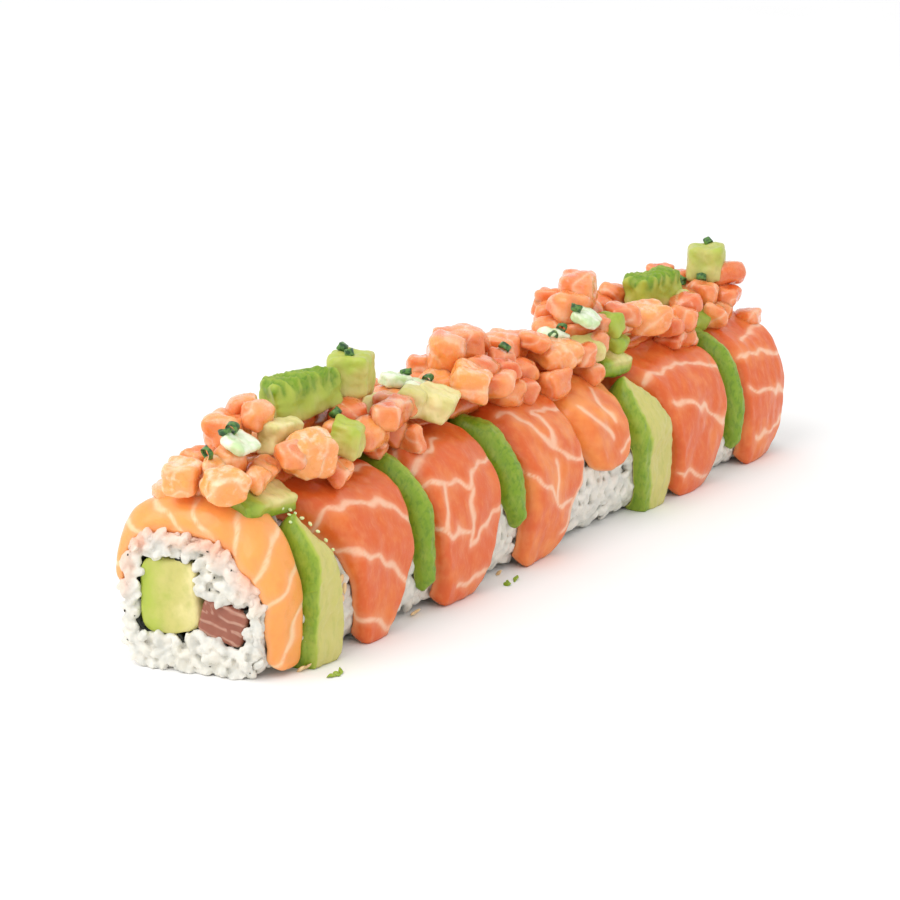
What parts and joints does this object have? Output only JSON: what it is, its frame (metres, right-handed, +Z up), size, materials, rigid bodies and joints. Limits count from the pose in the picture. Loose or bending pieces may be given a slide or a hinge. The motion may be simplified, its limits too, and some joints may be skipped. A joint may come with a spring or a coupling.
{
  "type": "uramaki roll",
  "caption": "Long inside-out sushi roll, cut across but kept together, draped with salmon and avocado slices and topped with a heap of dice.",
  "frame": {"origin": "middle of the roll's footprint, on the plane it stands on", "axes": "+X along the roll away from the nearer cut face, +Y to the left as seen from that face, +Z up"},
  "size_m": [0.2565, 0.0466, 0.0621],
  "materials": {
    "rice": "moist cooked rice, semi-matt white grains",
    "nori": "damp pressed seaweed, near black",
    "avocado": "ripe avocado, green rim fading to pale yellow, satin",
    "tuna": "raw tuna, dusky pink-brown, moist",
    "salmon": "raw salmon, orange with pale fat lines, moist",
    "diced_topping": "small dice of salmon and avocado with chive rings, moist"
  },
  "bodies": {
    "root": {"rice_1": "rice", "rice_2": "rice", "rice_3": "rice", "rice_4": "rice", "rice_5": "rice", "rice_6": "rice", "rice_7": "rice", "nori_1": "nori", "nori_2": "nori", "nori_3": "nori", "nori_4": "nori", "nori_5": "nori", "nori_6": "nori", "nori_7": "nori", "avocado_core_1": "avocado", "avocado_core_2": "avocado", "avocado_core_3": "avocado", "avocado_core_4": "avocado", "avocado_core_5": "avocado", "avocado_core_6": "avocado", "avocado_core_7": "avocado", "tuna_core_1": "tuna", "tuna_core_2": "tuna", "tuna_core_3": "tuna", "tuna_core_4": "tuna", "tuna_core_5": "tuna", "tuna_core_6": "tuna", "tuna_core_7": "tuna", "salmon_slice_1": "salmon", "salmon_slice_2": "salmon", "salmon_slice_3": "salmon", "salmon_slice_4": "salmon", "salmon_slice_5": "salmon", "salmon_slice_6": "salmon", "salmon_slice_7": "salmon", "avocado_slice_1": "avocado", "avocado_slice_2": "avocado", "avocado_slice_3": "avocado", "avocado_slice_4": "avocado", "avocado_slice_5": "avocado", "avocado_shoulder_1": "avocado", "avocado_shoulder_2": "avocado", "topping_bed": "diced_topping", "salmon_dice_1": "salmon", "salmon_dice_2": "salmon", "salmon_dice_3": "salmon", "salmon_dice_4": "salmon", "salmon_dice_5": "salmon", "salmon_dice_6": "salmon", "salmon_dice_7": "salmon", "salmon_dice_8": "salmon", "salmon_dice_9": "salmon", "salmon_dice_10": "salmon", "avocado_chunk_1": "avocado", "avocado_chunk_2": "avocado", "avocado_chunk_3": "avocado", "avocado_chunk_4": "avocado", "avocado_chunk_5": "avocado", "avocado_chunk_6": "avocado", "avocado_chunk_7": "avocado"}
  },
  "joints": []
}
